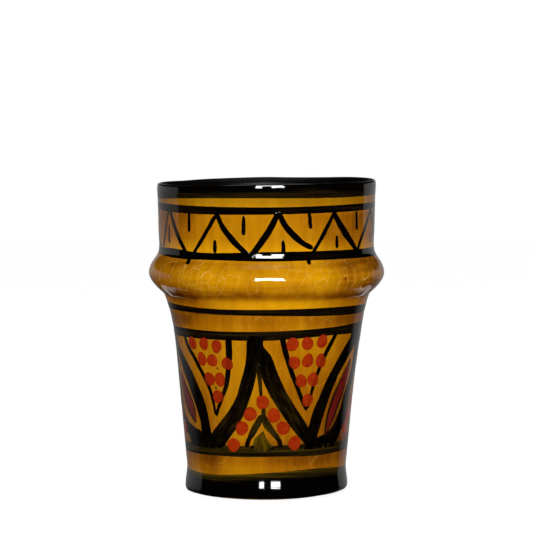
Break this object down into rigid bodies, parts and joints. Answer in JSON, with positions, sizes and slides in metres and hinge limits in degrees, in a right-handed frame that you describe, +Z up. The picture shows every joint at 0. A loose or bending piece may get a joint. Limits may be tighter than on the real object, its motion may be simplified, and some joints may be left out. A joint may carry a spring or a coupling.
{
  "type": "tea cup",
  "caption": "Handleless painted tea cup with a swelling collar under a straight neck, on a plain foot ring, in honey glaze over red clay.",
  "frame": {"origin": "centre of the foot ring's standing face", "axes": "+Z up along the cup's axis, front of the painted pattern towards -Y"},
  "size_m": [0.0768, 0.0768, 0.101],
  "materials": {
    "bare_clay": "unglazed fired red clay, slightly rough, with turning lines",
    "honey_glaze": "clear honey-amber glaze, very glossy, crazed and uneven in depth",
    "dark_paint": "brushed black-brown under a clear gloss, olive brown where it is thin",
    "olive_paint": "the same dark paint brushed thin, so that the honey glaze shows through",
    "orange_paint": "orange-red dots, slightly raised, with a softer gloss",
    "red_paint": "deep red brushed filling under a clear gloss"
  },
  "bodies": {
    "root": {"clay_body": "bare_clay", "outer_glaze": "honey_glaze", "lining_glaze": "honey_glaze", "rim_band": "dark_paint", "neck_line_upper": "dark_paint", "zigzag_border": "dark_paint", "tick_marks": "dark_paint", "neck_line_lower": "dark_paint", "waist_line_upper": "dark_paint", "waist_line_lower": "dark_paint", "arch_strokes": "dark_paint", "doorways": "olive_paint", "arch_dots": "orange_paint", "pendant_strokes": "dark_paint", "pendant_dots": "orange_paint", "leaf_outlines": "dark_paint", "leaf_fills": "red_paint", "base_line": "dark_paint", "foot_band": "dark_paint"}
  },
  "joints": []
}
